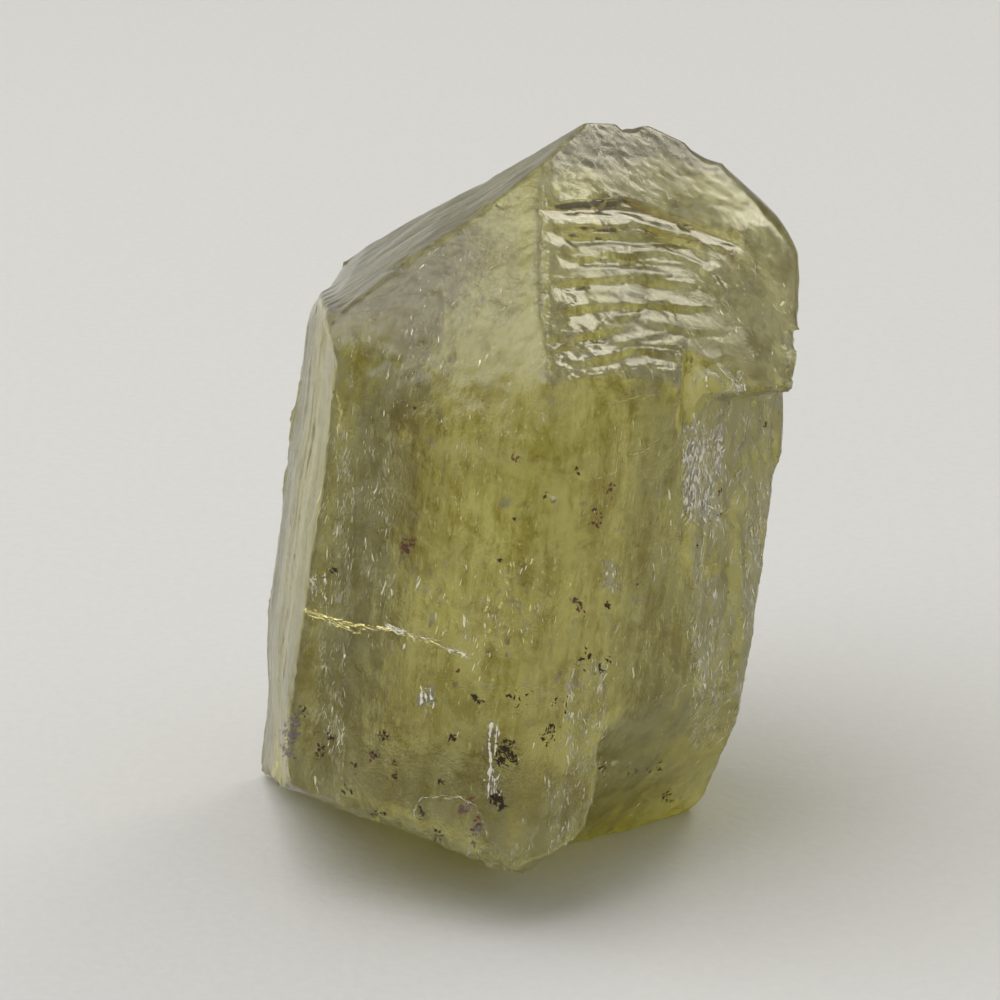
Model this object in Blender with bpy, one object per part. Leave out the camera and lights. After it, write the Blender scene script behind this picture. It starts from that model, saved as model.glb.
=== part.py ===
"""Fluorapatite crystal: one stout hexagonal prism closed by a six-sided pyramid.

The crystal leans to its right and away from the front, and it stands on a flat place of its
broken lower end. Front is -Y, up is +Z. Lengths at the top are in millimetres and angles in
degrees; everything is built in metres.

A place on a face is given in the face's own plane: across, to the right as seen from outside,
and up, towards the tip. Both count from the point of the face that is nearest to AXIS_FOOT.
"""

import math

import bmesh
import bpy
from mathutils import Matrix, Vector, noise

MM = 0.001

# How the crystal stands
LEAN_RIGHT = 6.6
LEAN_BACK = 8.4
TWIST = 3.3
AXIS_FOOT = (-1.43, -1.22, -0.3)

# Growth form: distance of each face from the axis foot
PYRAMID_SLOPE = 40.2
BLANK = 60.0
PRISM = {
    "left": (-86.4, 7.2),
    "front_left": (-30.0, 8.3),
    "front_right": (30.0, 8.1),
    "right": (90.0, 8.3),
    "back_right": (150.0, 7.9),
    "back_left": (-150.0, 7.7),
}
PYRAMID = {
    "left": (-90.0, 18.05),
    "front_left": (-30.0, 18.6),
    "front_right": (30.0, 18.3),
    "right": (90.0, 21.4),
    "back_right": (150.0, 21.1),
    "back_left": (-150.0, 19.05),
}

# Breaks that run right across: azimuth, inclination, distance from the axis foot
BREAKS = {
    "top_right": (128.0, 46.0, 21.9),
    "shoulder_left": (-96.5, 63.9, 14.2),
}

# Rough breaks that end inside a face: azimuth, inclination, distance, across, up, turn, width,
# height, roughness and the seed of the roughness
ROUGH = {
    "corner_break": (50.0, 85.8, 8.92, 0.4, 5.6, 0.0, 16.0, 21.0, 0.22, 3.0),
    "corner_flare": (-4.0, 56.2, 14.0, 6.5, 11.0, 4.2, 3.8, 6.0, 0.08, 5.0),
    "lip_recess": (90.0, 90.0, 7.65, 0.0, 8.6, 0.0, 14.0, 20.0, 0.03, 6.0),
    "lobe_recess": (36.2, 125.5, 2.75, 3.0, 5.0, 0.0, 10.4, 12.0, 0.15, 8.0),
    "lobe_underside": (55.5, 136.3, 2.82, -5.2, 3.5, 0.0, 9.0, 12.0, 0.15, 9.0),
    "underside": (-47.5, 159.2, 0.78, 0.0, 4.0, 0.0, 24.0, 16.0, 0.16, 12.0),
    "left_groove": (-86.4, 90.0, 7.05, 1.7, 9.0, -1.0, 1.5, 20.0, 0.04, 14.0),
    "back_step": (-150.0, 90.0, 7.35, 3.6, 8.0, 1.5, 4.0, 20.0, 0.05, 16.0),
    "back_break": (152.0, 97.0, 6.7, -2.6, 3.0, 12.0, 6.0, 7.0, 0.20, 18.0),
}
ROUGH_CELL = 0.9
ROUGH_GRAIN = 1.6
ROUGH_DEPTH = 8.0

# Growth ledges on the front right pyramid face: across, up, turn, width, run, depth
LEDGES = (
    (-0.2, 12.5, 4.9, 3.9, 0.55, 0.20),
    (3.0, 11.95, -27.0, 3.7, 0.65, 0.24),
    (5.2, 9.8, -67.0, 2.9, 0.50, 0.14),
    (-0.4, 11.5, 2.0, 4.1, 0.60, 0.14),
    (2.7, 11.15, -20.0, 3.2, 0.50, 0.17),
    (0.2, 10.2, -4.0, 5.2, 0.70, 0.10),
    (-0.2, 9.3, 3.0, 5.4, 0.80, 0.10),
    (-0.4, 8.1, 11.0, 2.8, 0.60, 0.14),
    (-2.4, 7.2, 34.0, 2.2, 0.50, 0.12),
    (-1.8, 6.6, -3.0, 4.8, 0.80, 0.12),
    (-1.6, 5.7, 2.0, 5.2, 0.60, 0.08),
)
LEDGE_LIFT = 1.2
LEDGE_OVERRUN = 1.3

# Shell-shaped chips along the edges: face, across, up, height over the face, radius
CHIPS = (
    ("left", 3.6, 6.9, 0.55, 0.7),
    ("left", 3.3, 9.2, 0.60, 0.8),
    ("left", 2.2, 12.0, 0.62, 0.8),
    ("left", -0.6, 16.6, 0.60, 0.8),
    ("front_right", 3.2, 16.5, 0.60, 0.9),
    ("front_right", 5.6, 15.2, 0.60, 0.9),
    ("front_right", 7.2, 12.4, 0.90, 1.2),
    ("back_left", 3.0, 6.0, 0.50, 0.9),
    ("back_right", -4.2, 9.0, 0.60, 1.0),
)
CHIP_ROUGHNESS = 0.12

OLIVE = (0.36, 0.33, 0.11, 1.0)
ROUGHNESS = 0.18
REFRACTIVE_INDEX = 1.634


def crystal_axes():
    """Right, front and long axis of the leaning crystal."""
    axis = Vector((math.tan(math.radians(LEAN_RIGHT)), math.tan(math.radians(LEAN_BACK)), 1.0))
    axis.normalize()
    front = Vector((0.0, -1.0, 0.0))
    front -= front.dot(axis) * axis
    front.normalize()
    return axis.cross(front), front, axis


def face_frame(azimuth, inclination, distance):
    """A matrix with the face's across, up and outward directions, at its point nearest the axis foot."""
    right, front, axis = crystal_axes()
    turn = math.radians(azimuth + TWIST)
    tilt = math.radians(inclination)
    side = math.sin(turn) * right + math.cos(turn) * front
    out = math.sin(tilt) * side + math.cos(tilt) * axis
    up = (axis - axis.dot(out) * out).normalized()
    across = up.cross(out)
    frame = Matrix((across, up, out)).transposed().to_4x4()
    frame.translation = (Vector(AXIS_FOOT) + distance * out) * MM
    return frame


def on_face(across, up, turn, height=0.0):
    """A place on a face, turned in its plane and raised off it."""
    place = Matrix.Translation((across * MM, up * MM, height * MM))
    return place @ Matrix.Rotation(math.radians(turn), 4, "Z")


def slice_off(bm, frame):
    """Remove what lies outside the frame's plane, and close the cut with one flat face."""
    parts = bm.verts[:] + bm.edges[:] + bm.faces[:]
    cut = bmesh.ops.bisect_plane(
        bm,
        geom=parts,
        plane_co=frame.translation,
        plane_no=frame.col[2].to_3d(),
        clear_outer=True,
    )
    rim = [e for e in cut["geom_cut"] if isinstance(e, bmesh.types.BMEdge)]
    if rim:
        bmesh.ops.contextual_create(bm, geom=rim)


def lumps(point, seed):
    """Smooth noise of a broken surface, about -1 to 1."""
    place = point / (ROUGH_GRAIN * MM) + Vector((seed, 0.0, 0.0))
    return noise.fractal(place, 1.0, 2.0, 3)


def new_object(name, bm, collection, frame=None):
    mesh = bpy.data.meshes.new(name)
    bm.normal_update()
    bm.to_mesh(mesh)
    bm.free()
    made = bpy.data.objects.new(name, mesh)
    if frame is not None:
        made.matrix_world = frame
    collection.objects.link(made)
    return made


def new_cutter(name, bm, collection, frame):
    cutter = new_object(name, bm, collection, frame)
    cutter.hide_render = True
    cutter.display_type = "WIRE"
    return cutter


def growth_form():
    """The prism with its pyramid and the breaks that run right across it."""
    bm = bmesh.new()
    bmesh.ops.create_cube(bm, size=BLANK * MM)
    for azimuth, distance in PRISM.values():
        slice_off(bm, face_frame(azimuth, 90.0, distance))
    for azimuth, distance in PYRAMID.values():
        slice_off(bm, face_frame(azimuth, PYRAMID_SLOPE, distance))
    for azimuth, inclination, distance in BREAKS.values():
        slice_off(bm, face_frame(azimuth, inclination, distance))
    slice_off(bm, Matrix.Rotation(math.pi, 4, "X"))
    bmesh.ops.recalc_face_normals(bm, faces=bm.faces[:])
    return bm


def rough_block(width, height, roughness, seed):
    """A block whose lower side is a lumpy sheet, for cutting a rough break."""
    bm = bmesh.new()
    bmesh.ops.create_grid(
        bm,
        x_segments=max(2, round(width / ROUGH_CELL)),
        y_segments=max(2, round(height / ROUGH_CELL)),
        size=0.5 * MM,
    )
    bmesh.ops.scale(bm, vec=(width, height, 1.0), verts=bm.verts[:])
    sheet = bm.verts[:]
    grown = bmesh.ops.extrude_face_region(bm, geom=bm.faces[:])
    top = [v for v in grown["geom"] if isinstance(v, bmesh.types.BMVert)]
    bmesh.ops.translate(bm, vec=(0.0, 0.0, ROUGH_DEPTH * MM), verts=top)
    for vert in sheet:
        vert.co.z += roughness * MM * lumps(vert.co, seed)
    bmesh.ops.recalc_face_normals(bm, faces=bm.faces[:])
    return bm


def ledge_block(width, run, depth):
    """A box that leaves a step of this depth at its upper end and fades out at its lower end."""
    bm = bmesh.new()
    bmesh.ops.create_cube(bm, size=MM)
    length = run * LEDGE_OVERRUN
    bmesh.ops.scale(bm, vec=(width, length, LEDGE_LIFT), verts=bm.verts[:])
    bmesh.ops.translate(bm, vec=(0.0, -length / 2 * MM, LEDGE_LIFT / 2 * MM), verts=bm.verts[:])
    slope = Matrix.Rotation(-math.atan2(depth, run), 4, "X")
    bmesh.ops.transform(bm, matrix=Matrix.Translation((0.0, 0.0, -depth * MM)) @ slope, verts=bm.verts[:])
    return bm


def chip_ball(radius, seed):
    """A lumpy ball that bites a shell-shaped chip out of an edge."""
    bm = bmesh.new()
    bmesh.ops.create_icosphere(bm, subdivisions=2, radius=radius * MM)
    for vert in bm.verts:
        vert.co *= 1.0 + CHIP_ROUGHNESS * lumps(vert.co, seed)
    return bm


def make_cutters(collection):
    for name, row in ROUGH.items():
        azimuth, inclination, distance, across, up, turn, width, height, rough, seed = row
        frame = face_frame(azimuth, inclination, distance) @ on_face(across, up, turn)
        new_cutter(name, rough_block(width, height, rough, seed), collection, frame)
    azimuth, distance = PYRAMID["front_right"]
    face = face_frame(azimuth, PYRAMID_SLOPE, distance)
    for number, (across, up, turn, width, run, depth) in enumerate(LEDGES, 1):
        frame = face @ on_face(across, up, turn)
        new_cutter(f"ledge_{number}", ledge_block(width, run, depth), collection, frame)
    for number, (side, across, up, height, radius) in enumerate(CHIPS, 1):
        azimuth, distance = PYRAMID[side]
        frame = face_frame(azimuth, PYRAMID_SLOPE, distance) @ on_face(across, up, 0.0, height)
        new_cutter(f"chip_{number}", chip_ball(radius, 10.0 * number), collection, frame)


def crystal_material():
    material = bpy.data.materials.new("apatite")
    material.use_nodes = True
    shader = material.node_tree.nodes["Principled BSDF"]
    shader.inputs["Base Color"].default_value = OLIVE
    shader.inputs["Metallic"].default_value = 0.0
    shader.inputs["Roughness"].default_value = ROUGHNESS
    shader.inputs["IOR"].default_value = REFRACTIVE_INDEX
    shader.inputs["Transmission Weight"].default_value = 1.0
    material.diffuse_color = OLIVE
    return material


def new_collection(name):
    collection = bpy.data.collections.new(name)
    bpy.context.scene.collection.children.link(collection)
    return collection


def main():
    for old in list(bpy.data.objects):
        bpy.data.objects.remove(old, do_unlink=True)
    parts = new_collection("fluorapatite_crystal")
    cutters = new_collection("cutters")
    crystal = new_object("crystal", growth_form(), parts)
    crystal.data.materials.append(crystal_material())
    make_cutters(cutters)
    for cutter in cutters.objects:
        cut = crystal.modifiers.new(cutter.name, "BOOLEAN")
        cut.operation = "DIFFERENCE"
        cut.solver = "EXACT"
        cut.object = cutter


main()
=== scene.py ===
"""Looks of the fluorapatite crystal: its fine surface, the flaws and grains on and in it, and the studio.

Lengths are in millimetres until a mesh is made. A place on a face is across and up in the face's own
plane, from the point nearest to the axis foot. A place in the picture is x and y from its top left
corner, in thousandths of its width.
"""

import math
import random

import bmesh
import bpy
import numpy as np
from mathutils import Matrix, Vector, noise
from mathutils.bvhtree import BVHTree
from mathutils.geometry import delaunay_2d_cdt
from mathutils.kdtree import KDTree


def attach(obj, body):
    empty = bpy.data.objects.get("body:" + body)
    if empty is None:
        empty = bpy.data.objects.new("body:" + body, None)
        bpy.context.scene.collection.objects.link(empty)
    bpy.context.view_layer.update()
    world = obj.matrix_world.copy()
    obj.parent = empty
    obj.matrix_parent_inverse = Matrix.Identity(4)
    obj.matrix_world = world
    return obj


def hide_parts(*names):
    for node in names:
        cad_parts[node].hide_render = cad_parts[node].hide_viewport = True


MM = 0.001

# The crystal's own directions and faces
LEAN_RIGHT = 6.6
LEAN_BACK = 8.4
TWIST = 3.3
AXIS_FOOT = Vector((-1.43, -1.22, -0.3))
PYRAMID_SLOPE = 40.2
PRISM = {
    "left": (-86.4, 7.2),
    "front_left": (-30.0, 8.3),
    "front_right": (30.0, 8.1),
    "right": (90.0, 8.3),
    "back_right": (150.0, 7.9),
    "back_left": (-150.0, 7.7),
}
PYRAMID = {
    "left": (-90.0, 18.05),
    "front_left": (-30.0, 18.6),
    "front_right": (30.0, 18.3),
    "right": (90.0, 21.4),
    "back_right": (150.0, 21.1),
    "back_left": (-150.0, 19.05),
}
BREAKS = {
    "top_right": (128.0, 46.0, 21.9),
    "shoulder_left": (-96.5, 63.9, 14.2),
    "corner_break": (50.0, 85.8, 8.92),
    "corner_flare": (-4.0, 56.2, 14.0),
    "lip_recess": (90.0, 90.0, 7.65),
    "lobe_recess": (36.2, 125.5, 2.75),
    "lobe_underside": (55.5, 136.3, 2.82),
    "underside": (-47.5, 159.2, 0.78),
    "left_groove": (-86.4, 90.0, 7.05),
    "back_step": (-150.0, 90.0, 7.35),
    "back_break": (152.0, 97.0, 6.7),
}

# The fine surface: distance between its points, and how they are spread over a face
SPACING = 0.17
FINE_SPACING = 0.1
ROW_STEP = 0.866
JITTER = 0.22
GRID_SEED = 7
BORDER_GAP = 0.55
BATCH = 500
MERGE_GAP = 1e-7
SHARP_ANGLE = 32.0

# How the solid's facets are told apart: lengths, and least cosines between two directions
WELD = 2e-7
SAME_PLANE = 0.004
SAME_WAY = 0.9998
TINY_AREA = 1e-5
NO_AREA = 1e-12
BASE_WAY, BASE_HEIGHT = 0.999, 0.01
SMOOTH_WAY, SMOOTH_OFF = 0.9995, 0.03
ROUGH_WAY, ROUGH_OFF = 0.75, 0.45
LEDGE_WAY, LEDGE_BOX = 0.55, ((-4.5, 7.5), (4.5, 13.5), (-0.32, 0.01))

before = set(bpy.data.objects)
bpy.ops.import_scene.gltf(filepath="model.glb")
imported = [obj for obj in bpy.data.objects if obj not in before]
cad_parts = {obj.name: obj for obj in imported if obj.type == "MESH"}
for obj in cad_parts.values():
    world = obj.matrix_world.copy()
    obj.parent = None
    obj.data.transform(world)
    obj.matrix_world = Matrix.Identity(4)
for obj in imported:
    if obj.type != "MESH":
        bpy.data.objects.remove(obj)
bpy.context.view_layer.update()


# Crystal directions
def crystal_axes():
    """The right, front and long directions of the leaning crystal."""
    right, back = (math.tan(math.radians(lean)) for lean in (LEAN_RIGHT, LEAN_BACK))
    axis = Vector((right, back, 1.0)).normalized()
    front = Vector((0.0, -1.0, 0.0))
    front = (front - front.dot(axis) * axis).normalized()
    return axis.cross(front), front, axis


RIGHT, FRONT, AXIS = crystal_axes()


class Plane:
    """A face's plane, with its own across and up directions."""

    def __init__(self, name, azimuth, inclination, distance):
        turn, tilt = math.radians(azimuth + TWIST), math.radians(inclination)
        side = math.sin(turn) * RIGHT + math.cos(turn) * FRONT
        self.name = name
        self.out = math.sin(tilt) * side + math.cos(tilt) * AXIS
        self.up = (AXIS - AXIS.dot(self.out) * self.out).normalized()
        self.across = self.up.cross(self.out)
        self.origin = AXIS_FOOT + distance * self.out

    def local(self, point):
        """Across, up and height of a point over the plane."""
        d = point - self.origin
        return d.dot(self.across), d.dot(self.up), d.dot(self.out)


PLANES = {}
for name, (azimuth, distance) in PRISM.items():
    PLANES["prism_" + name] = Plane("prism_" + name, azimuth, 90.0, distance)
for name, (azimuth, distance) in PYRAMID.items():
    PLANES["pyramid_" + name] = Plane("pyramid_" + name, azimuth, PYRAMID_SLOPE, distance)
for name, row in BREAKS.items():
    PLANES[name] = Plane(name, *row)
ROUGH_NAMES = list(BREAKS)[2:]  # the breaks but for the two smooth ones at the top


# Facets of the solid
def read_solid():
    """The solid's mesh in millimetres, with the doubled corners of the file format welded."""
    bm = bmesh.new()
    bm.from_mesh(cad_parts["crystal"].data)
    bmesh.ops.remove_doubles(bm, verts=bm.verts, dist=WELD)
    bmesh.ops.scale(bm, vec=(1 / MM,) * 3, verts=bm.verts)
    bm.normal_update()
    for part in (bm.verts, bm.edges, bm.faces):
        part.ensure_lookup_table()
    return bm


def flat_groups(bm):
    """Number of the flat group that each triangle is in, and each group's normal."""
    group = [-1] * len(bm.faces)
    normals = []
    for seed in sorted(bm.faces, key=lambda f: -f.calc_area()):
        if group[seed.index] >= 0:
            continue
        normal, offset = seed.normal.copy(), seed.normal.dot(seed.verts[0].co)
        group[seed.index] = len(normals)
        todo = [seed]
        while todo:
            for edge in todo.pop().edges:
                for face in edge.link_faces:
                    if group[face.index] >= 0:
                        continue
                    off = max(abs(normal.dot(v.co) - offset) for v in face.verts)
                    alike = face.normal.dot(normal) > SAME_WAY or face.calc_area() < TINY_AREA
                    if off < SAME_PLANE and alike:
                        group[face.index] = len(normals)
                        todo.append(face)
        normals.append(normal)
    return group, normals


def zone_of(normal, centre):
    """Name of the plane that a flat group belongs to, or base or wall."""
    if normal.z < -BASE_WAY and centre.z < BASE_HEIGHT:
        return "base"
    off = {name: abs(plane.local(centre)[2]) for name, plane in PLANES.items()}
    for name, plane in PLANES.items():
        if name not in ROUGH_NAMES and normal.dot(plane.out) > SMOOTH_WAY and off[name] < SMOOTH_OFF:
            return name
    ledges = PLANES["pyramid_front_right"]
    inside = all(low < value < high for value, (low, high) in zip(ledges.local(centre), LEDGE_BOX))
    if inside and normal.dot(ledges.out) > LEDGE_WAY:
        return ledges.name
    found = [
        (off[name], name) for name in ROUGH_NAMES
        if normal.dot(PLANES[name].out) > ROUGH_WAY and off[name] < ROUGH_OFF
    ]
    return min(found)[1] if found else "wall"


def even_odd(points, starts, ends):
    """Which points lie inside the outline of these segments."""
    x, y = points[:, 0:1], points[:, 1:2]
    x1, y1, x2, y2 = starts[:, 0], starts[:, 1], ends[:, 0], ends[:, 1]
    crosses = (y1 > y) != (y2 > y)
    with np.errstate(divide="ignore", invalid="ignore"):
        at = x1 + (y - y1) * (x2 - x1) / (y2 - y1)
    return (np.count_nonzero(crosses & (x < at), axis=1) % 2).astype(bool)


def clear_of(points, starts, ends, gap):
    """Which points are further than the gap from all segments."""
    along = ends - starts
    length2 = np.maximum((along**2).sum(1), NO_AREA)
    rel = points[:, None, :] - starts[None]
    t = np.clip((rel * along).sum(2) / length2, 0, 1)
    d2 = ((rel - t[..., None] * along) ** 2).sum(2)
    return d2.min(1) > gap * gap


def fill(outline, places, spacing, rng):
    """Jittered points inside an outline and the triangles between them and the outline."""
    starts, ends = places[outline[:, 0]], places[outline[:, 1]]
    low, high = places.min(0), places.max(0)
    rows = int((high[1] - low[1]) / (spacing * ROW_STEP)) + 1
    columns = int((high[0] - low[0]) / spacing) + 1
    grid = np.array([
        (low[0] + (i + 0.5 * (j % 2)) * spacing, low[1] + j * spacing * ROW_STEP)
        for j in range(rows) for i in range(columns)
    ])
    grid += rng.uniform(-JITTER, JITTER, grid.shape) * spacing
    grid = grid[even_odd(grid, starts, ends)]
    batches = np.array_split(grid, max(1, len(grid) // BATCH))
    keep = [clear_of(batch, starts, ends, BORDER_GAP * spacing) for batch in batches]
    grid = grid[np.concatenate(keep)] if len(grid) else grid
    points = np.concatenate([places, grid]) if len(grid) else places
    segments = [tuple(s) for s in outline.tolist()]
    made = delaunay_2d_cdt([Vector(p) for p in points], segments, [], 0, MERGE_GAP)
    origin = [o[0] if o else -1 for o in made[3]]
    triangles = np.array([[origin[i] for i in face] for face in made[2]])
    return grid, triangles[even_odd(points[triangles].mean(1), starts, ends)].tolist()


def fine_surface():
    """Points, triangles, and for each point the zones and normals of the facets that meet there."""
    bm = read_solid()
    group, normals = flat_groups(bm)
    members = [[] for _ in normals]
    for face in bm.faces:
        members[group[face.index]].append(face)
    zones = []
    for normal, faces in zip(normals, members):
        area = sum(f.calc_area() for f in faces) + NO_AREA
        shares = [f.calc_area() + NO_AREA / len(faces) for f in faces]
        centre = sum((f.calc_center_median() * share for f, share in zip(faces, shares)), Vector()) / area
        zones.append(zone_of(normal, centre))
    step = [FINE_SPACING if z == "pyramid_front_right" else SPACING for z in zones]
    points = [v.co.copy() for v in bm.verts]
    meets = [set() for _ in points]
    chains = {}
    for edge in bm.edges:
        sides = {group[f.index] for f in edge.link_faces}
        if len(sides) < 2:
            continue
        a, b = edge.verts
        cuts = max(1, round(edge.calc_length() / min(step[g] for g in sides)))
        chain = [a.index]
        for i in range(1, cuts):
            chain.append(len(points))
            points.append(a.co.lerp(b.co, i / cuts))
            meets.append(set())
        chain.append(b.index)
        chains[edge.index] = chain
        for i in chain:
            meets[i] |= sides
    rng = np.random.default_rng(GRID_SEED)
    triangles = []
    for number, (normal, faces) in enumerate(zip(normals, members)):
        outline, used = [], {}
        for face in faces:
            for loop in face.loops:
                chain = chains.get(loop.edge.index)
                if chain is None:
                    continue
                chain = chain if chain[0] == loop.vert.index else chain[::-1]
                for pair in zip(chain, chain[1:]):
                    outline.append(tuple(used.setdefault(i, len(used)) for i in pair))
        plane = PLANES.get(zones[number])
        side = normal.orthogonal().normalized()
        if plane is not None and abs(normal.dot(plane.out)) > 0.5:
            side = (plane.across - plane.across.dot(normal) * normal).normalized()
        up = normal.cross(side)
        ids = list(used)
        base = points[ids[0]].copy()
        flat = [((points[i] - base).dot(side), (points[i] - base).dot(up)) for i in ids]
        places = np.array(flat, np.float32).astype(float)
        grid, local = fill(np.array(outline), places, step[number], rng)
        for x, y in grid.tolist():
            ids.append(len(points))
            points.append(base + x * side + y * up)
            meets.append({number})
        triangles += [tuple(ids[i] for i in t) for t in local]
    bm.free()
    return points, triangles, meets, zones, normals


# Relief of the surface
ROUGH_FADE = 0.9
ROUGH_STEP = 2.1


def blend(low, high, value):
    """0 up to low, 1 from high on, and a smooth rise between them."""
    t = min(1.0, max(0.0, (value - low) / (high - low)))
    return t * t * (3.0 - 2.0 * t)


def window(low, high, soft, value):
    """1 between low and high, fading to 0 over the soft width outside them."""
    return blend(low - soft, low, value) * (1.0 - blend(high, high + soft, value))


def rough(x, y, z=0.0, octaves=4):
    """Fractal noise around 0."""
    return noise.fractal(Vector((x, y, z)), ROUGH_FADE, ROUGH_STEP, octaves)


def rough_sum(rows, x, y, seed):
    """Sum of rough layers: height, scale across, scale up, shift of the seed and octaves of each."""
    return sum(lift * rough(x * sx, y * sy, seed + shift, octaves) for lift, sx, sy, shift, octaves in rows)


def ridge(x, y, z=0.0):
    """Sharp crested noise, 0 to about 1."""
    return 1.0 - abs(noise.noise(Vector((x, y, z)))) * 2.0


def to_line(x, y, line):
    """Distance to a polyline and how far along it the nearest place is, 0 to 1."""
    best, at = 1e9, 0.0
    for i, ((x1, y1), (x2, y2)) in enumerate(zip(line, line[1:])):
        dx, dy = x2 - x1, y2 - y1
        t = min(1.0, max(0.0, ((x - x1) * dx + (y - y1) * dy) / (dx * dx + dy * dy)))
        d = math.hypot(x - x1 - t * dx, y - y1 - t * dy)
        if d < best:
            best, at = d, (i + t) / (len(line) - 1)
    return best, at


# The ledge face. A band is least, most and the width over which it fades out.
ETCHED_FROM, ETCHED_TO = 12.5, 13.3
SCRATCH_SCALE = (1.1, 0.9, 5.0, 4.0)
TOP_ROUGH, TOP_SCRATCH = 0.022, 0.012
LEFT_EDGE, LEFT_EDGE_SLOPE = (-1.9, 12.35), 0.46
RIPPLED_UP = (5.9, 12.2, 0.9)
RIPPLES_END = (1.4, 3.0)
LEDGE_PITCH, LEDGE_ARCH, LEDGE_WANDER = 1.05, 0.035, 0.35
TREAD_SHARE, RISER_SHARE, TREAD_HEIGHT, TREAD_ROUGH = 0.82, 0.18, 0.13, 0.014
UNDER_ACROSS, UNDER_UP = (-1.3, 2.9, 0.5), (9.7, 11.1, 0.25)
UNDER_TILT, UNDER_FROM, UNDER_ROUGH = 0.105, 9.6, 0.012
SPARKLE_ACROSS, SPARKLE_UP, SPARKLE_HEIGHT = (-4.9, -3.6, 0.4), (1.5, 6.2, 0.6), 0.05
SMOOTH_ROUGH = 0.006
# Raised ripples under the ledges: line, half width, height
RIPPLES = (
    ([(-2.96, 6.62), (-2.2, 7.3), (-1.47, 7.72), (0.0, 8.05), (0.74, 8.16), (0.98, 7.9)], 0.16, 0.075),
    ([(-2.4, 6.55), (-0.6, 6.95), (0.75, 7.25), (0.95, 7.6)], 0.13, 0.05),
    ([(-3.6, 5.9), (-2.2, 6.25), (-0.5, 6.5), (0.5, 6.6)], 0.15, 0.06),
    ([(-3.9, 5.2), (-2.4, 5.6), (-1.0, 5.75), (0.0, 5.7)], 0.18, 0.05),
    ([(-4.2, 7.1), (-3.2, 7.9), (-2.4, 8.3)], 0.2, 0.05),
    ([(-2.6, 8.75), (-1.2, 8.9), (0.3, 8.75)], 0.16, 0.045),
    ([(-2.7, 9.7), (-1.0, 9.85), (0.9, 9.7), (2.2, 9.2)], 0.16, 0.05),
    ([(-2.4, 10.6), (0.0, 10.9), (2.0, 10.6), (3.3, 9.9)], 0.2, 0.055),
    ([(2.7, 10.1), (3.1, 9.6), (3.2, 9.0)], 0.22, 0.07),
)


def ledge_face(across, up):
    """The face with the growth ledges: etched at the top, rippled below the ledges, smooth at its right."""
    top = blend(ETCHED_FROM, ETCHED_TO, up + 0.25 * rough(across * 0.8, up * 0.8))
    sx, sy, fine, seed = SCRATCH_SCALE
    scratch = ridge(across * sx + up * sy, (up - across) * fine, seed) ** 4
    height = top * (TOP_ROUGH * rough(across * 1.8, up * 1.8, 1.0) + TOP_SCRATCH * scratch)
    inside = blend(0.1, 1.1, across - LEFT_EDGE[0] + LEFT_EDGE_SLOPE * (LEFT_EDGE[1] - up))
    rippled = (1.0 - top) * inside * (1.0 - blend(*RIPPLES_END, across)) * window(*RIPPLED_UP, up)
    wander = LEDGE_WANDER * rough(across * 0.4, up * 0.5, 9.0, 2)
    arch = (up + LEDGE_ARCH * (across - 0.4) ** 2 + wander) / LEDGE_PITCH
    part = arch - math.floor(arch)
    rise = (part - TREAD_SHARE) / RISER_SHARE - 0.5
    tread = (0.5 - part / TREAD_SHARE) if part < TREAD_SHARE else rise
    strength = max(0.0, min(1.3, 0.7 + 1.1 * rough(across * 0.6, up * 0.8, 3.0, 2)))
    height += rippled * (TREAD_HEIGHT * strength * tread + TREAD_ROUGH * rough(across * 1.4, up * 3.0, 2.0))
    for line, half, lift in RIPPLES:
        d, at = to_line(across, up, line)
        if d < 3.0 * half:
            swell = 0.75 + 0.35 * rough(at * 6.0, half * 40.0)
            height += inside * lift * math.exp(-((d / half) ** 2)) * swell
    under = window(*UNDER_ACROSS, across) * window(*UNDER_UP, up)
    height -= under * (UNDER_TILT * (up - UNDER_FROM) - UNDER_ROUGH * rough(across * 6.0, up * 0.8, 8.0, 2))
    sparkle = window(*SPARKLE_ACROSS, across) * window(*SPARKLE_UP, up)
    height += SPARKLE_HEIGHT * sparkle * rough(across * 2.5, up * 3.5, 7.0)
    return height + (1.0 - top) * SMOOTH_ROUGH * rough(across * 1.5, up * 1.5, 5.0)


# Faint lumps and lengthwise grooves of grown faces, as rows for rough_sum
LEFT_PRISM_ROUGH = ((0.03, 0.55, 0.07, 0.0, 2), (0.035, 2.6, 0.16, 1.0, 3), (0.02, 2.5, 0.9, 5.0, 4))
PRISM_ROUGH = ((0.024, 1.5, 0.12, 0.0, 4), (0.012, 4.0, 0.35, 0.0, 2), (0.022, 1.0, 0.7, 5.0, 4))
PYRAMID_ROUGH = ((0.012, 0.9, 0.5, 0.0, 4), (0.008, 3.0, 0.7, 2.0, 4))
RIGHT_SEED = 3.0
PIT_DEPTH = 0.12
PRISM_PITS, PYRAMID_PITS = 0.42, 0.3
SHOULDER_UP, SHOULDER_HEIGHT = (13.0, 16.5), 0.05
SLANT_HEIGHT, FOOT_UP = 0.04, (5.5, 9.0)


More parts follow.
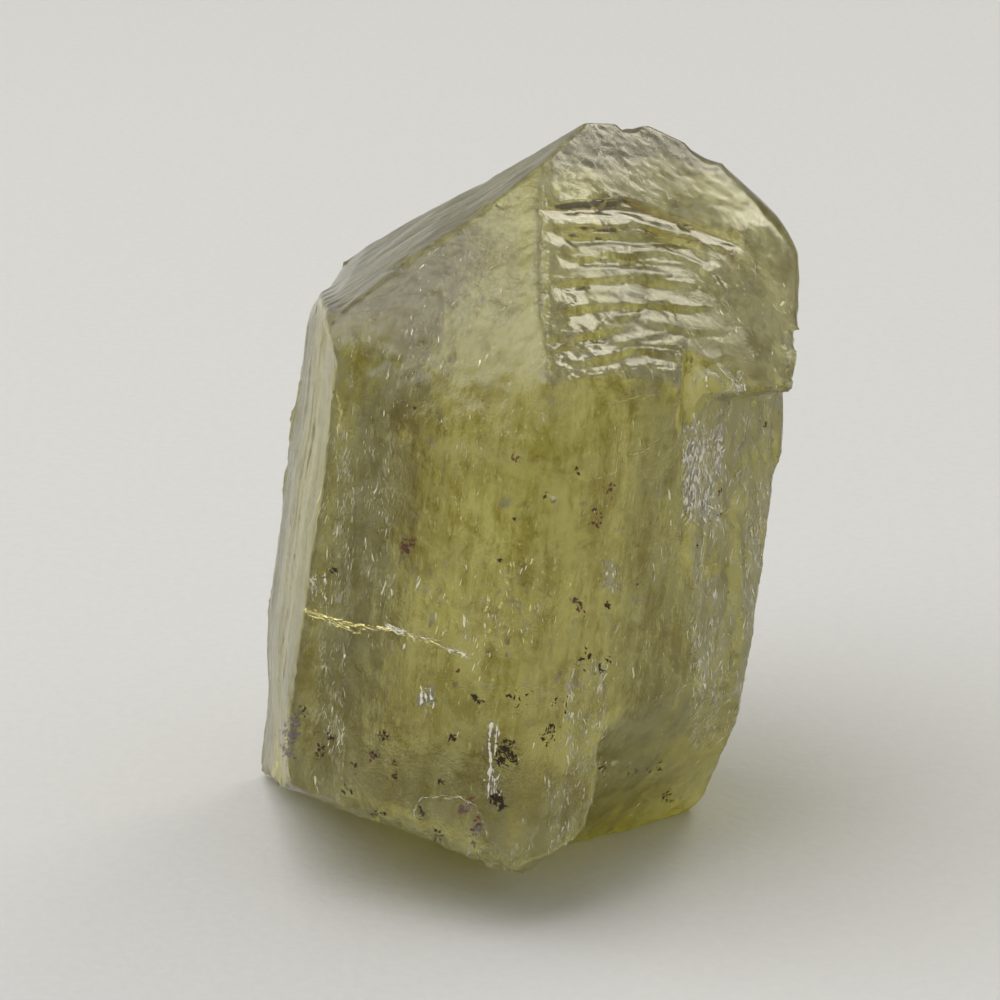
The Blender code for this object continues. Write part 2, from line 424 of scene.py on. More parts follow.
def grown_face(name, across, up):
    """Faint lumps, lengthwise grooves and etch pits of a grown face."""
    seed = float(len(name)) + (RIGHT_SEED if "right" in name else 0.0)
    if name == "prism_left":
        return rough_sum(LEFT_PRISM_ROUGH, across, up, seed)
    if name.startswith("prism"):
        height = rough_sum(PRISM_ROUGH, across, up, seed)
        pit = max(0.0, rough(across * 2.3, up * 1.5, seed + 9.0, 3) - PRISM_PITS)
        shoulder = blend(*SHOULDER_UP, up) if name.startswith("prism_front") else 0.0
        height += SHOULDER_HEIGHT * shoulder * rough(across * 1.6, up * 1.8, seed + 6.0)
        return height - PIT_DEPTH * pit
    height = rough_sum(PYRAMID_ROUGH, across, up, seed)
    if name == "pyramid_front_left":
        slanted = across * 0.8 - up * 0.55
        height += SLANT_HEIGHT * rough(slanted * 2.0, (across + up) * 0.5, seed + 4.0)
        height += SLANT_HEIGHT * (1.0 - blend(*FOOT_UP, up)) * rough(across * 1.5, up * 1.8, seed + 6.0)
        height -= PIT_DEPTH * max(0.0, rough(across * 2.0, up * 2.0, seed + 8.0, 3) - PYRAMID_PITS)
    return height


BREAK_LIFT, BREAK_STEPS, BREAK_FLAKES, BREAK_ROUGH = 0.08, 0.16, 0.12, 0.04
CALM_BREAKS, CALM_SHARE = ("lip_recess", "lobe_recess", "lobe_underside"), 0.25
LIP_UP, LIP_SWELL = (14.5, 18.5, 0.6), 0.2
TOP_BREAKS, TOP_BREAK_ROUGH = ("shoulder_left", "top_right"), 0.02
WALL_ROUGH = 0.04


def broken_face(point, plane):
    """Flaky relief of a broken surface, drawn out along the crystal."""
    across, up, _ = plane.local(point)
    steps = rough(across * 1.2, up * 0.28, 11.0, 3)
    flakes = ridge(across * 1.7 + 0.8 * steps, up * 0.42, 13.0)
    height = BREAK_LIFT + BREAK_STEPS * steps - BREAK_FLAKES * flakes * flakes
    height += BREAK_ROUGH * rough(across * 2.2, up * 1.1, 17.0, 2)
    if plane.name not in CALM_BREAKS:
        return height
    return CALM_SHARE * height + (LIP_SWELL * window(*LIP_UP, up) if plane.name == "lip_recess" else 0.0)


def relief(zone, point):
    """Height of the fine relief over the rounded solid."""
    if zone == "base":
        return 0.0
    plane = PLANES.get(zone)
    if plane is None:
        return WALL_ROUGH * rough(*(point * 1.1), 2)
    across, up, _ = plane.local(point)
    if zone == "pyramid_front_right":
        return ledge_face(across, up)
    if zone.startswith(("prism", "pyramid")):
        return grown_face(zone, across, up)
    if zone in TOP_BREAKS:
        return TOP_BREAK_ROUGH * rough(across * 1.5, up * 1.5, 21.0)
    if zone == "left_groove":
        return grown_face("prism_left", across, up)
    return broken_face(point, plane)


# How etched and how frosted each zone is
ETCHED = {
    "back_break": 0.4, "wall": 0.4, "base": 0.4, "prism_left": 1.3, "pyramid_left": 0.2,
    "pyramid_right": 0.15, "top_right": 0.3,
}
FROSTED = {
    "corner_break": 0.9, "lip_recess": 0.35, "corner_flare": 0.8, "lobe_recess": 0.2, "lobe_underside": 0.2,
    "underside": 0.1, "back_step": 0.1, "back_break": 0.2, "wall": 0.1, "left_groove": 0.1,
    "prism_left": 0.2,
}
STREAKED_ACROSS, STREAKED_UP = (-1.6, 3.0, 0.5), (6.0, 11.4, 0.5)
FROSTED_ACROSS, FROSTED_UP = (-3.6, -0.6, 0.8), (8.5, 15.5, 1.5)


def is_etched(zone, point):
    """How finely etched the surface is: grown faces are smoother where they catch the light."""
    if zone != "pyramid_front_right":
        return ETCHED.get(zone, 1.0)
    across, up, _ = PLANES[zone].local(point)
    streaked = window(*STREAKED_ACROSS, across) * window(*STREAKED_UP, up)
    return 0.12 + 0.3 * blend(12.5, 13.4, up) + 0.45 * streaked


def is_frosted(zone, point):
    """How frosted the surface is, 0 for a clear grown face to 1 for a fresh break."""
    amount = FROSTED.get(zone, 0.0)
    if zone in ("pyramid_front_right", "prism_front_left"):
        across, up, _ = PLANES[zone].local(point)
        if zone == "prism_front_left":
            amount = 0.25 * window(*FROSTED_ACROSS, across) * window(*FROSTED_UP, up)
        else:
            amount = 0.6 * blend(12.7, 13.6, up) * (0.6 + 0.6 * rough(across * 0.7, up * 0.7, 3.0))
    return max(0.0, min(1.0, amount))


# How far the rounding between two zones reaches
SOFT_EDGES = {
    "prism_front_left": {"prism_front_right": 1.0, "pyramid_front_left": 1.5, "underside": 1.2},
    "prism_front_right": {"pyramid_front_right": 1.5, "lobe_recess": 1.2, "underside": 1.2},
    "prism_right": {"pyramid_right": 1.3, "pyramid_front_right": 1.3, "wall": 0.6, "lip_recess": 0.8},
    "pyramid_front_right": {"pyramid_front_left": 0.01, "pyramid_right": 1.6, "top_right": 1.6},
    "top_right": {"pyramid_right": 1.6, "pyramid_back_right": 1.3},
    "corner_flare": {"lip_recess": 0.8, "prism_right": 0.8, "pyramid_right": 0.8},
    "lip_recess": {"wall": 0.8, "pyramid_right": 0.8},
    "lobe_recess": {"corner_break": 0.9, "wall": 0.7, "lobe_underside": 1.4},
    "lobe_underside": {"wall": 1.2, "lip_recess": 1.2, "corner_break": 1.2},
}
WIDE_EDGES = (("pyramid_front_left", "prism_front_left"), ("pyramid_front_right", "prism_front_right"))
WIDE_REACH = 2.2
EDGE_ANGLE = 0.3
FAR_OFF = 9.0
LOOK_AROUND = 1.6
SOFT_GAIN, SOFT_MORE = 1.6, 0.2
# Rounds of smoothing and how strong each is: everywhere, at soft edges and at wide ones
HARD_STEPS, SOFT_STEPS, WIDE_STEPS = 3, 60, 260
HARD_PULL, SOFT_PULL, WIDE_PULL = 0.5, 0.6, 0.9
NICK_DEPTH, NICK_SCALE, NICK_FROM, NICK_REACH = 0.12, 1.3, 0.2, 0.4
SETTLED_DEPTH = 0.4
SETTLED = (  # plane, least and most across, least and most up, share of the depth that is kept
    ("prism_left", -7.0, 8.0, 0.0, 18.0, 0.25),
    ("pyramid_front_right", -5.2, 7.5, 4.6, 10.9, 0.12),
    ("pyramid_front_right", -5.2, 7.5, 10.9, 13.6, 0.5),
)


def settled(point):
    """Steps cut into a face, brought nearer to its plane."""
    for name, left, right, low, high, keep in SETTLED:
        plane = PLANES[name]
        across, up, off = plane.local(point)
        if left < across < right and low < up <= high and -SETTLED_DEPTH < off < 0.0:
            return point + (keep - 1.0) * off * plane.out
    return point


def edge_reaches(points, facing):
    """For each point: how soft the rounding is, how far a hard edge is, and how wide the rounding is."""
    tree, wide_tree = KDTree(len(points)), KDTree(len(points))
    reach = {}
    for i, found in enumerate(facing):
        names = {zone for zone, _ in found}
        if any(names == set(pair) for pair in WIDE_EDGES):
            wide_tree.insert(points[i], i)
        softest = [
            SOFT_EDGES.get(a, {}).get(b, SOFT_EDGES.get(b, {}).get(a, 0.0))
            for n, (a, out) in enumerate(found) for b, other in found[n + 1:]
            if out.angle(other, 0.0) > EDGE_ANGLE
        ]
        if softest:
            reach[i] = min(softest)
            tree.insert(points[i], i)
    tree.balance()
    wide_tree.balance()
    soft, hard, wide = [], [], []
    for point in points:
        away = wide_tree.find(point)[2]
        nearest, softness = FAR_OFF, 0.0
        for _, i, distance in tree.find_range(point, LOOK_AROUND):
            if reach[i] == 0.0:
                nearest = min(nearest, distance)
            else:
                softness = max(softness, 1.0 - distance / (reach[i] + SOFT_MORE))
        soft.append(min(1.0, SOFT_GAIN * softness) * blend(0.0, 0.5, nearest + 0.1))
        hard.append(nearest)
        wide.append((1.0 - blend(0.5 * WIDE_REACH, WIDE_REACH, away)) * blend(0.3, 1.3, nearest))
    return np.array(soft), np.array(hard), np.array(wide)


def point_normals(places, faces):
    """Each point's normal, from the areas of the triangles around it."""
    a, b, c = (places[faces[:, k]] for k in range(3))
    across = np.cross(b - a, c - a)
    total = np.zeros_like(places)
    for k in range(3):
        np.add.at(total, faces[:, k], across)
    return total / np.maximum(np.linalg.norm(total, axis=1), NO_AREA)[:, None]


def smoothed(places, faces, soft, wide):
    """Edges rounded by evening out the points: a little everywhere, more where soft and wide are near 1."""
    sides = np.concatenate([faces[:, [0, 1]], faces[:, [1, 2]], faces[:, [2, 0]]])
    edges = np.unique(np.sort(sides, axis=1), axis=0)
    one, other = np.concatenate([edges, edges[:, ::-1]]).T
    number = len(places)
    count = np.maximum(np.bincount(one, minlength=number), 1)
    pulls = [np.full(number, HARD_PULL)] * HARD_STEPS
    pulls += [SOFT_PULL * soft] * SOFT_STEPS + [WIDE_PULL * wide] * WIDE_STEPS
    for pull in pulls:
        mean = [np.bincount(one, weights=places[other, k], minlength=number) / count for k in range(3)]
        places = places + pull[:, None] * (np.stack(mean, axis=1) - places)
    return places


# How far the sides are moved out to the outline in the picture. A row is the height, the distance, and
# the x where it starts and the x from which it is full.
FILL_RIGHT = (
    (0.0, -0.35, 4.6, 6.6), (0.5, -0.12, 4.6, 6.8), (1.2, 0.12, 5.0, 7.2), (3.0, 0.18, 5.0, 7.5),
    (5.0, 0.45, 6.0, 8.0), (14.0, 0.42, 6.3, 8.2), (15.5, 0.28, 5.0, 8.0), (18.0, 0.36, 4.0, 8.0),
    (20.0, 0.62, 3.5, 7.3), (22.0, 0.5, 3.5, 6.5), (23.4, 0.1, 3.5, 6.5),
)
FILL_LEFT = (
    (0.0, 0.0, 5.5, 7.5), (3.3, 0.03, 5.5, 7.5), (4.5, 0.2, 5.5, 7.5), (6.3, 0.33, 5.5, 7.5),
    (9.0, 0.25, 5.5, 7.5), (12.0, 0.2, 5.5, 7.5), (14.0, 0.03, 5.5, 7.5), (17.5, 0.03, 5.5, 7.0),
    (18.5, 0.3, 2.5, 4.5), (20.5, 0.3, 1.0, 3.0), (22.0, 0.0, 1.0, 3.0),
)


def filled_out(places):
    """Points near the left and right sides moved out, so that rounding does not narrow the outline."""
    x, z = places[:, 0].copy(), places[:, 2]
    for side, rows in ((1.0, FILL_RIGHT), (-1.0, FILL_LEFT)):
        table = np.array(rows)
        amount, start, full = (np.interp(z, table[:, 0], table[:, k]) for k in (1, 2, 3))
        t = np.clip((side * x - start) / (full - start), 0.0, 1.0)
        places[:, 0] += side * amount * t * t * (3.0 - 2.0 * t)
    return places


def displaced_surface():
    """The fine surface with rounded edges and relief, and how frosted and how etched each point is."""
    points, triangles, meets, zones, normals = fine_surface()
    used = sorted({i for t in triangles for i in t})
    new_index = {old: new for new, old in enumerate(used)}
    faces = np.array([[new_index[i] for i in t] for t in triangles])
    points, meets = [points[i] for i in used], [meets[i] for i in used]
    facing = []
    for at in meets:
        found = {}
        for number in at:
            zone = zones[number]
            plane = PLANES.get(zone)
            found[zone if plane else number] = (zone, plane.out if plane else normals[number])
        facing.append(list(found.values()))

    def over_zones(join, amount):
        return np.array([join([amount(zone, p) for zone, _ in found]) for p, found in zip(points, facing)])

    def mean(values):
        return sum(values) / len(values)

    soft, hard, wide = edge_reaches(points, facing)
    foot = np.array([any(zone == "base" for zone, _ in found) for found in facing])
    soft[foot] = wide[foot] = 0.0
    places = filled_out(smoothed(np.array([settled(p) for p in points]), faces, soft, wide))
    out = point_normals(places, faces)
    nicks = np.array([max(0.0, rough(*(p * NICK_SCALE), 4) - NICK_FROM) for p in points])
    nicks *= np.clip(1.0 - hard / NICK_REACH, 0.0, 1.0)
    places = places + (over_zones(mean, relief) - NICK_DEPTH * nicks)[:, None] * out
    places[foot, 2] = 0.0
    places[:, 2] = np.maximum(places[:, 2], 0.0)
    return places, faces, over_zones(max, is_frosted), over_zones(mean, is_etched)


# Places seen from the front
CAMERA_PLACE = Vector((-0.67, -113.98, 52.74))
CAMERA_AIM = Vector((-0.67, -1.22, 11.7))
LENS = 129.6
SENSOR = 36.0
PICTURE = 1000.0
PER_MM = 30.0  # picture units in a millimetre
REFRACTIVE_INDEX = 1.634
TEST_WAY = Vector((0.31, -0.52, 0.79)).normalized()
STEP_ON = 1e-4


def pairs(flat):
    """The points of a line that is written as x, y, x, y and so on."""
    return list(zip(flat[::2], flat[1::2]))


class Solid:
    """Answers what is seen at a place of the picture and whether a point is inside the solid."""

    def __init__(self, places, faces):
        self.tree = BVHTree.FromPolygons(places.tolist(), faces.tolist())
        self.low, self.high = places.min(0), places.max(0)
        self.turn = (CAMERA_AIM - CAMERA_PLACE).to_track_quat("-Z", "Y")

    def ray(self, x, y):
        """Direction from the camera through a place of the picture."""
        half = SENSOR / 2 / LENS
        across, up = (x / PICTURE * 2 - 1) * half, (1 - y / PICTURE * 2) * half
        return (self.turn @ Vector((across, up, -1.0))).normalized()

    def behind(self, x, y, depth):
        """The point that shows at this place of the picture when it lies this deep behind the surface."""
        way = self.ray(x, y)
        hit, normal, _, _ = self.tree.ray_cast(CAMERA_PLACE, way)
        if hit is None:
            return None, None
        if depth <= 0.0:
            return hit - depth * normal, normal
        slow = 1.0 / REFRACTIVE_INDEX
        cos = -way.dot(normal)
        inner = slow * way + (slow * cos - math.sqrt(1.0 - slow * slow * (1.0 - cos * cos))) * normal
        return hit + depth * inner, normal

    def depth(self, point):
        """How deep inside the solid a point lies; less than 0 outside."""
        distance = self.tree.find_nearest(point)[3]
        crossings, hit = 0, self.tree.ray_cast(point, TEST_WAY)[0]
        while hit is not None:
            crossings += 1
            hit = self.tree.ray_cast(hit + STEP_ON * TEST_WAY, TEST_WAY)[0]
        return distance if crossings % 2 else -distance

    def spots(self, rows):
        """Places on the surface along lines in the picture, with the reach and strength of each line."""
        found = []
        for flat, half, strength in rows:
            line = pairs(flat)
            for (x1, y1), (x2, y2) in zip(line, line[1:] + line[-1:]):
                steps = max(1, round(math.hypot(x2 - x1, y2 - y1) / max(3.0, half * 0.5)))
                for i in range(steps):
                    x, y = x1 + (x2 - x1) * i / steps, y1 + (y2 - y1) * i / steps
                    place, _ = self.behind(x, y, 0.0)
                    if place is not None:
                        found.append((np.array(place), half / PER_MM, strength))
        return found


def spotted(places, spots):
    """The strongest soft spot at each place, made grainy, 0 to 1."""
    total = np.zeros(len(places))
    for centre, reach, strength in spots:
        d2 = ((places - centre) ** 2).sum(1) / (reach * reach)
        total = np.maximum(total, strength * np.exp(-d2))
    grain = [0.75 + 0.5 * rough(*(1.8 * p), octaves=3) if t > 0.02 else 1.0 for p, t in zip(places, total)]
    return np.clip(total * np.array(grain), 0.0, 1.0)


FLAKE_SIDES = 6
FLAKE_BEND, FLAKE_TURN = 0.25, 0.42
FLAKE_REACHES = (0.35, 0.6, 0.9, 1.1)
ON_SURFACE = -0.004  # the depth of a flake that lies in the surface


def add_flake(bm, rng, centre, normal, along, length, width, thick):
    """A thin closed plate with a ragged outline that tapers to its rim."""
    normal = normal.normalized()
    along = (along - along.dot(normal) * normal).normalized()
    across = normal.cross(along)
    bend = rng.uniform(-FLAKE_BEND, FLAKE_BEND) * length
    rim = []
    for i in range(FLAKE_SIDES):
        a = math.tau * (i + rng.uniform(-FLAKE_TURN, FLAKE_TURN)) / FLAKE_SIDES
        r = rng.choice(FLAKE_REACHES)
        u, v = r * math.cos(a), r * math.sin(a)
        place = centre + u * length * along + v * width * across + bend * u * u * normal
        rim.append(bm.verts.new(place * MM))
    top = bm.verts.new((centre + thick / 2 * normal) * MM)
    bottom = bm.verts.new((centre - thick / 2 * normal) * MM)
    for a, b in zip(rim, rim[1:] + rim[:1]):
        bm.faces.new((a, b, top))
        bm.faces.new((b, a, bottom))


def any_way(rng):
    """A direction, all equally likely."""
    while True:
        v = Vector((rng.uniform(-1, 1), rng.uniform(-1, 1), rng.uniform(-1, 1)))
        if 0.05 < v.length < 1.0:
            return v.normalized()


def new_object(name, mesh, material):
    """An object of the scene with this mesh and material."""
    made = bpy.data.objects.new(name, mesh)
    bpy.context.scene.collection.objects.link(made)
    mesh.materials.append(material)
    return made


def flake_piece(name, flakes, rng, material):
    """A piece of the crystal that is made of flakes."""
    bm = bmesh.new()
    for flake in flakes:
        add_flake(bm, rng, *flake)
    mesh = bpy.data.meshes.new(name)
    bmesh.ops.recalc_face_normals(bm, faces=bm.faces[:])
    bm.to_mesh(mesh)
    bm.free()
    made = new_object(name, mesh, material)
    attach(made, "root")


# Frosted places: a line in the picture, its half width and its strength
FROST_LINES = (
    ((585, 135, 640, 145, 690, 160), 14, 0.6),
    ((560, 165, 620, 170, 690, 185), 16, 0.45),
    ((470, 372, 510, 385, 545, 395), 22, 0.75),
    ((566, 385, 568, 440), 14, 0.6),
    ((696, 488, 706, 500, 712, 516), 8, 1.0),
    ((714, 456, 718, 476), 6, 1.0),
    ((681, 322, 700, 345, 722, 368, 742, 393), 6, 0.9),
    ((742, 393, 771, 396, 778, 386), 5, 0.9),
    ((705, 375, 728, 385), 12, 0.6),
    ((318, 570, 318, 600), 8, 0.6),
    ((345, 440, 340, 560, 336, 630), 20, 0.7),
    ((350, 385, 380, 430), 20, 0.4),
    ((385, 470, 380, 600), 12, 0.35),
    ((315, 480, 305, 600), 8, 0.4),
    ((606, 560, 612, 585), 10, 0.8),
    ((585, 680, 580, 760), 12, 0.6),
    ((560, 800, 545, 850), 14, 0.5),
    ((450, 850, 530, 862), 10, 0.6),
    ((318, 760, 330, 790), 10, 0.4),
    ((349, 380, 350, 381), 6, 0.6),
    ((430, 700, 425, 705), 6, 0.4),
    ((365, 312, 385, 306), 5, 0.9),
    ((430, 256, 450, 247), 5, 0.9),
    ((400, 255, 330, 300), 20, 0.25),
)
# Brown stains, written in the same way; the rows along the ledges at the top paint the dark brown of their
# risers, which is partly painted shade
STAIN_AND_SHADE_LINES = (
    ((556, 211, 600, 210, 632, 207, 680, 221, 718, 240), 7, 1.0),
    ((718, 242, 745, 268, 775, 300), 6, 0.75),
    ((726, 250, 742, 268), 9, 0.9),
    ((555, 229, 610, 226, 660, 232, 705, 245), 3, 0.8),
    ((600, 128, 660, 136, 700, 156), 9, 0.55),
    ((600, 150, 680, 172), 16, 0.22),
    ((395, 330, 440, 333), 16, 0.35),
    ((402, 415, 412, 480, 415, 560), 18, 0.35),
    ((610, 487, 600, 520), 10, 0.6),
    ((740, 345, 755, 375), 4, 0.4),
    ((575, 600, 590, 612), 12, 0.3),
    ((440, 470, 450, 540), 12, 0.25),
    ((500, 760, 600, 790, 640, 800), 22, 0.25),
    ((385, 650, 410, 720), 18, 0.2),
)

# Painted shade: places made darker olive where the crystal looks darker in its light, written in the same
# way
PAINTED_SHADE_LINES = (
    ((420, 390, 425, 470, 420, 560), 24, 0.7),
    ((400, 580, 380, 640), 20, 0.35),
    ((350, 660, 400, 700, 450, 700, 480, 740), 32, 0.8),
    ((380, 780, 450, 790, 520, 800), 30, 0.75),
    ((560, 560, 600, 530, 640, 520), 25, 0.4),
    ((560, 640, 620, 640, 660, 600), 20, 0.35),
    ((650, 740, 690, 760, 640, 800), 25, 0.7),
    ((590, 818, 640, 826, 700, 812), 16, 1.0),
    ((300, 795, 350, 815, 400, 838, 450, 860), 14, 0.8),
    ((270, 770, 300, 790), 10, 0.6),
    ((730, 300, 765, 250), 25, 0.35),
    ((700, 300, 700, 340), 16, 0.4),
    ((325, 360, 322, 420, 300, 600, 280, 740), 18, 0.75),
    ((560, 250, 556, 340), 10, 0.4),
    ((620, 160, 660, 175), 16, 0.4),
    ((480, 240, 440, 300), 18, 0.3),
    ((400, 300, 500, 250), 40, 0.3),
    ((370, 352, 540, 360), 26, 0.3),
    ((505, 480, 520, 540), 16, 0.35),
)

# Clouds of flaws: left, top, right, bottom in the picture, number, half length, how drawn out, least and
# most depth
PALE_CLOUDS = (
    (300, 430, 395, 660, 330, 0.50, 4.5, 0.08, 1.2),
    (330, 330, 420, 430, 90, 0.34, 3.0, 0.15, 1.5),
    (380, 560, 540, 650, 260, 0.40, 2.4, 0.2, 2.5),
    (440, 370, 560, 440, 260, 0.15, 1.6, 0.04, 0.4),
    (460, 560, 640, 680, 160, 0.28, 2.2, 0.1, 1.5),
    (565, 660, 608, 775, 170, 0.40, 3.0, 0.06, 0.8),
    (310, 640, 345, 800, 150, 0.40, 4.0, 0.06, 0.8),
    (430, 660, 560, 830, 150, 0.26, 2.8, 0.2, 2.0),
    (545, 780, 592, 868, 150, 0.42, 3.0, 0.06, 0.7),
    (440, 840, 540, 870, 120, 0.28, 2.0, 0.05, 0.5),
    (500, 150, 680, 200, 110, 0.22, 2.2, 0.04, 0.4),
    (400, 240, 545, 380, 300, 0.24, 2.8, 0.06, 1.0),
    (610, 420, 690, 700, 200, 0.40, 4.0, 0.2, 2.0),
    (640, 540, 700, 700, 70, 0.26, 3.0, 0.1, 1.0),
    (555, 225, 700, 380, 140, 0.20, 2.0, 0.1, 1.0),
    (700, 250, 790, 380, 90, 0.24, 3.0, 0.1, 1.2),
    (600, 730, 700, 820, 80, 0.26, 2.5, 0.1, 1.0),
    (500, 490, 620, 600, 100, 0.16, 2.0, 0.1, 1.5),
    (362, 300, 400, 322, 25, 0.10, 1.5, 0.02, 0.2),
    (425, 243, 455, 262, 20, 0.12, 2.0, 0.02, 0.2),
)
WHITE_CLOUDS = (
    (692, 405, 772, 740, 3000, 0.44, 5.0, 0.02, 0.2),
    (683, 425, 722, 525, 2300, 0.36, 2.2, 0.02, 0.1),
    (566, 660, 607, 775, 460, 0.32, 2.2, 0.02, 0.12),
    (548, 785, 590, 866, 280, 0.32, 2.5, 0.02, 0.12),
    (604, 560, 624, 590, 130, 0.22, 1.4, 0.02, 0.1),
    (312, 574, 327, 604, 110, 0.24, 1.3, 0.02, 0.1),
    (318, 640, 345, 770, 300, 0.36, 3.5, 0.02, 0.15),
    (334, 430, 354, 610, 260, 0.40, 4.5, 0.02, 0.15),
    (364, 440, 394, 560, 180, 0.32, 3.5, 0.02, 0.15),
    (455, 430, 482, 545, 140, 0.22, 3.0, 0.02, 0.15),
    (742, 470, 774, 640, 1200, 0.38, 4.0, 0.02, 0.1),
    (690, 620, 722, 745, 900, 0.38, 4.0, 0.02, 0.1),
    (694, 560, 702, 680, 260, 0.32, 4.0, 0.02, 0.1),
    (706, 372, 745, 396, 160, 0.24, 2.0, 0.02, 0.1),
    (694, 478, 716, 520, 70, 0.36, 1.5, 0.03, 0.15),
    (708, 450, 722, 480, 40, 0.30, 1.7, 0.03, 0.15),
    (740, 480, 772, 600, 110, 0.44, 5.0, 0.04, 0.2),
    (600, 560, 622, 588, 36, 0.22, 1.6, 0.04, 0.2),
    (488, 722, 500, 797, 150, 0.34, 2.2, 0.03, 0.1),
    (419, 687, 434, 707, 110, 0.24, 1.3, 0.02, 0.08),
    (345, 440, 352, 640, 60, 0.60, 6.0, 0.05, 0.3),
    (320, 480, 330, 640, 50, 0.50, 6.0, 0.05, 0.3),
    (552, 700, 575, 722, 20, 0.24, 2.0, 0.05, 0.3),
    (345, 372, 354, 388, 24, 0.16, 1.1, 0.04, 0.15),
    (311, 578, 326, 602, 24, 0.24, 1.2, 0.04, 0.15),
)
GOLD_CLOUDS = (
    (333, 385, 356, 435, 26, 0.12, 2.0, 0.1, 0.5),
    (300, 610, 400, 636, 40, 0.16, 3.0, 0.1, 0.8),
    (480, 560, 560, 640, 220, 0.30, 2.6, 0.1, 1.5),
    (420, 590, 520, 660, 160, 0.30, 2.8, 0.1, 1.5),
    (380, 500, 460, 600, 60, 0.22, 4.0, 0.5, 2.5),
)
# Grains: centre in the picture, radius there, number of pairs
DARK_GRAINS = (
    (475, 697, 3, 8), (480, 703, 3, 4), (385, 735, 4, 8), (453, 737, 3, 8), (376, 754, 4, 4),
    (395, 764, 3, 5), (394, 776, 4, 8), (507, 750, 8, 34), (500, 758, 6, 16), (515, 760, 4, 8),
    (497, 799, 7, 26), (503, 808, 4, 6), (552, 730, 8, 10), (545, 738, 6, 5), (520, 698, 9, 6),
    (375, 817, 9, 8), (355, 768, 5, 3), (320, 750, 7, 5), (303, 712, 4, 4), (330, 738, 5, 4),
    (348, 790, 8, 5), (437, 832, 5, 5), (658, 767, 5, 5), (649, 771, 3, 2), (631, 772, 5, 3),
    (602, 770, 6, 6), (668, 795, 5, 4), (600, 668, 6, 6), (608, 660, 4, 3), (515, 520, 3, 2),
    (545, 495, 3, 2), (576, 470, 3, 2), (416, 416, 4, 3), (335, 570, 3, 2), (500, 560, 4, 2),
    (607, 605, 4, 4), (640, 586, 3, 1), (697, 545, 4, 2), (445, 780, 5, 3), (420, 812, 6, 4),
    (560, 700, 8, 4), (585, 660, 8, 5),
)
RUST_GRAINS = (
    (404, 547, 5, 20), (412, 541, 4, 8), (517, 460, 5, 5), (575, 603, 7, 8), (580, 610, 5, 5),
    (612, 490, 8, 5), (596, 520, 8, 5), (470, 800, 6, 6), (478, 826, 6, 6), (462, 812, 6, 5),
    (457, 670, 4, 3), (372, 757, 5, 4), (437, 838, 5, 4), (720, 492, 3, 2), (719, 516, 3, 2),
    (765, 425, 3, 2), (664, 796, 5, 5),
)
VIOLET_STAINS = (
    (290, 735, 8, 30), (287, 752, 6, 22), (293, 722, 5, 12), (300, 712, 4, 6), (462, 807, 5, 9),
    (478, 830, 7, 12), (474, 842, 4, 5),
)
# Thin bright lines: line in the picture, half width, least and most depth, flakes in a millimetre
BRIGHT_LINES = (
    ((372, 628, 395, 630, 430, 640, 467, 655), 0.05, 0.05, 0.12, 14),
    ((386, 624, 396, 631, 404, 631), 0.16, 0.03, 0.1, 30),
    ((448, 648, 468, 657), 0.1, 0.03, 0.1, 18),
    ((422, 692, 421, 704), 0.2, 0.03, 0.1, 34),
    ((430, 689, 432, 703), 0.2, 0.03, 0.1, 34),
    ((492, 722, 489, 742, 491, 762, 488, 795), 0.18, 0.05, 0.15, 26),
    ((497, 726, 495, 752), 0.14, 0.05, 0.15, 22),
    ((495, 775, 494, 794), 0.14, 0.05, 0.15, 18),
    ((415, 822, 414, 808, 422, 799, 440, 796, 460, 797, 475, 806, 484, 822, 488, 838), 0.05, 0.05, 0.15, 9),
    ((400, 833, 430, 836, 450, 846, 470, 858, 500, 862), 0.04, 0.04, 0.1, 7),
    ((681, 322, 700, 347, 720, 368, 742, 393), 0.05, 0.03, 0.12, 9),
    ((742, 394, 758, 397, 771, 396, 777, 388), 0.05, 0.03, 0.12, 9),
    ((556, 219, 600, 217, 640, 213, 690, 226, 722, 242), 0.035, 0.03, 0.1, 8),
    ((560, 200, 600, 199, 640, 198, 680, 208), 0.03, 0.03, 0.08, 4),
    ((720, 235, 752, 258), 0.02, 0.03, 0.08, 8),
    ((755, 262, 756, 280), 0.02, 0.03, 0.08, 8),
    ((560, 233, 630, 230, 690, 245, 705, 253), 0.03, 0.03, 0.1, 7),
    ((440, 688, 500, 686, 560, 689), 0.025, 0.1, 0.3, 6),
    ((687, 684, 675, 696), 0.05, 0.04, 0.1, 10),
    ((622, 431, 615, 476), 0.02, 0.02, 0.06, 9),
    ((588, 480, 616, 474), 0.02, 0.02, 0.06, 8),
    ((598, 406, 628, 400, 657, 394), 0.02, 0.02, 0.06, 7),
    ((626, 456, 645, 449, 659, 439), 0.03, 0.02, 0.08, 7),
    ((694, 408, 683, 444, 681, 492, 690, 528, 703, 565, 696, 621, 690, 674, 673, 703), 0.035, 0.03, 0.1, 5),
    ((593, 470, 600, 560), 0.02, 0.1, 0.3, 3),
    ((608, 716, 600, 760, 592, 805), 0.04, 0.03, 0.15, 6),
    ((430, 700, 424, 720), 0.04, 0.05, 0.15, 10),
    ((445, 455, 440, 500), 0.04, 0.1, 0.3, 5),
)
GOLD_LINES = (
    ((303, 609, 325, 617, 345, 623, 372, 629, 395, 629), 0.1, 0.05, 0.2, 34),
    ((310, 616, 335, 624, 360, 633), 0.08, 0.05, 0.2, 20),
    ((395, 632, 430, 642, 462, 655), 0.06, 0.05, 0.2, 12),
    ((520, 570, 505, 600, 492, 620), 0.06, 0.3, 1.2, 12),
    ((500, 570, 515, 600, 524, 622), 0.06, 0.3, 1.2, 12),
    ((430, 600, 462, 608, 488, 600), 0.06, 0.3, 1.2, 10),
    ((336, 392, 342, 412, 338, 430), 0.08, 0.03, 0.2, 20),
)
BODY_FLAWS = 1500
